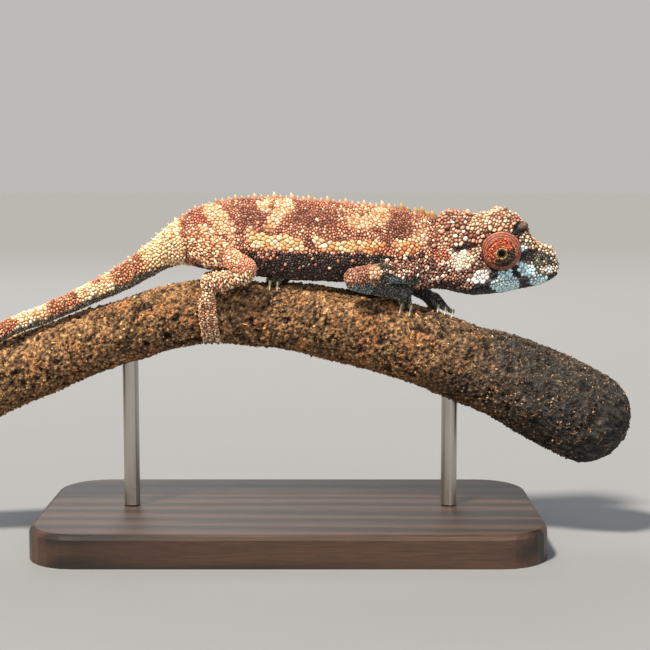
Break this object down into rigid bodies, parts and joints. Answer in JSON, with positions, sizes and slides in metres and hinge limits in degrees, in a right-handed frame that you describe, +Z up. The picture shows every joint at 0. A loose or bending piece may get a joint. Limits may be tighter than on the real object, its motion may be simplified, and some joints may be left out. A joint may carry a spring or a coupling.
{
  "type": "jackson's chameleon on a cut branch",
  "caption": "Still life-size model of a Jackson's chameleon gripping a cut branch with its tail wound round it, carried by a plain flat base and short rods.",
  "frame": {"origin": "centre of the underside of the stand's base", "axes": "+X towards the animal's head and +Z up, so that -Y is the animal's right side, which the picture shows"},
  "size_m": [0.1851, 0.062, 0.0869],
  "materials": {
    "skin": "dry beaded scales, cream, pink-brown and dark brown",
    "eyelid_skin": "fine ringed skin, orange-red and brown",
    "eyeball": "wet gloss",
    "horn": "dull keratin",
    "bark": "rough fibrous bark",
    "base_wood": "dark satin",
    "rod_steel": "brushed"
  },
  "bodies": {
    "root": {"head": "skin", "jaw": "skin", "eyelid_right": "eyelid_skin", "eyelid_left": "eyelid_skin", "eye_right": "eyeball", "eye_left": "eyeball", "horn_rostral": "horn", "horn_brow_right": "horn", "horn_brow_left": "horn", "neck": "skin", "torso": "skin", "tail_root": "skin", "tail_middle": "skin", "tail_coil_1": "skin", "tail_coil_2": "skin", "tail_coil_3": "skin", "front_right_upper_arm": "skin", "front_right_forearm": "skin", "front_right_foot": "skin", "front_left_upper_arm": "skin", "front_left_forearm": "skin", "front_left_foot": "skin", "rear_right_thigh": "skin", "rear_right_shin": "skin", "rear_right_foot": "skin", "rear_left_thigh": "skin", "rear_left_shin": "skin", "rear_left_foot": "skin", "perch": "bark", "stand_base": "base_wood", "stand_rod_rear": "rod_steel", "stand_rod_front": "rod_steel"}
  },
  "joints": []
}
